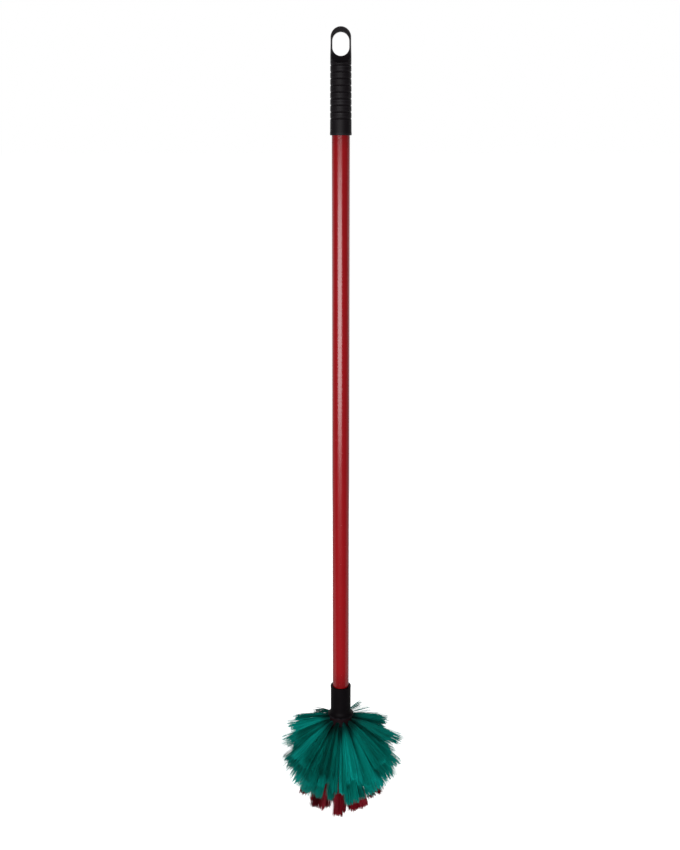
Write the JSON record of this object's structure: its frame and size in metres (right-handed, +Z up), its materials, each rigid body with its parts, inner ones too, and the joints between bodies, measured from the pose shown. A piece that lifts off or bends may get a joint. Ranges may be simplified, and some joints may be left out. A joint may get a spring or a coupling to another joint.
{
  "type": "cobweb brush",
  "caption": "Long-handled cobweb brush: a ball of soft bristle tufts on a screw-on head, a painted steel pole and a ribbed grip with a hanging eye.",
  "frame": {"origin": "the point where a hook bears: the top of the inside of the hanging eye, on the pole's axis", "axes": "+Z up along the pole from the brush to the grip, X across the eye, Y through the eye"},
  "size_m": [0.1707, 0.1713, 1.0415],
  "materials": {
    "red_paint": "gloss",
    "black_grip_plastic": "satin",
    "black_thread_plastic": "satin",
    "black_socket_plastic": "satin",
    "dark_hub_plastic": "matte",
    "staple_wire": "satin",
    "teal_bristle": "matte",
    "burgundy_bristle": "matte"
  },
  "bodies": {
    "pole": {"pole_tube": "red_paint", "grip": "black_grip_plastic", "threaded_end": "black_thread_plastic"},
    "head": {"burgundy_tuft_row4_01": "burgundy_bristle", "burgundy_tuft_row4_02": "burgundy_bristle", "burgundy_tuft_row4_03": "burgundy_bristle", "burgundy_tuft_row4_04": "burgundy_bristle", "burgundy_tuft_row4_05": "burgundy_bristle", "burgundy_tuft_row4_06": "burgundy_bristle", "burgundy_tuft_row4_07": "burgundy_bristle", "burgundy_tuft_row4_08": "burgundy_bristle", "burgundy_tuft_row4_09": "burgundy_bristle", "burgundy_tuft_row5_01": "burgundy_bristle", "burgundy_tuft_row5_02": "burgundy_bristle", "burgundy_tuft_row5_03": "burgundy_bristle", "burgundy_tuft_row5_04": "burgundy_bristle", "socket": "black_socket_plastic", "teal_tuft_row1_01": "teal_bristle", "teal_tuft_row1_02": "teal_bristle", "teal_tuft_row1_03": "teal_bristle", "teal_tuft_row1_04": "teal_bristle", "teal_tuft_row1_05": "teal_bristle", "teal_tuft_row1_06": "teal_bristle", "teal_tuft_row1_07": "teal_bristle", "teal_tuft_row1_08": "teal_bristle", "teal_tuft_row1_09": "teal_bristle", "teal_tuft_row1_10": "teal_bristle", "teal_tuft_row1_11": "teal_bristle", "teal_tuft_row2_01": "teal_bristle", "teal_tuft_row2_02": "teal_bristle", "teal_tuft_row2_03": "teal_bristle", "teal_tuft_row2_04": "teal_bristle", "teal_tuft_row2_05": "teal_bristle", "teal_tuft_row2_06": "teal_bristle", "teal_tuft_row2_07": "teal_bristle", "teal_tuft_row2_08": "teal_bristle", "teal_tuft_row2_09": "teal_bristle", "teal_tuft_row2_10": "teal_bristle", "teal_tuft_row2_11": "teal_bristle", "teal_tuft_row3_01": "teal_bristle", "teal_tuft_row3_02": "teal_bristle", "teal_tuft_row3_03": "teal_bristle", "teal_tuft_row3_04": "teal_bristle", "teal_tuft_row3_05": "teal_bristle", "teal_tuft_row3_06": "teal_bristle", "teal_tuft_row3_07": "teal_bristle", "teal_tuft_row3_08": "teal_bristle", "teal_tuft_row3_09": "teal_bristle", "teal_tuft_row3_10": "teal_bristle", "teal_tuft_row3_11": "teal_bristle", "tuft_hub": "dark_hub_plastic", "tuft_staples": "staple_wire"}
  },
  "joints": [
    {"name": "head_unscrew", "type": "slide", "parent": "pole", "child": "head", "axis": [0, 0, -1], "range_m": [0, 0.034]}
  ]
}
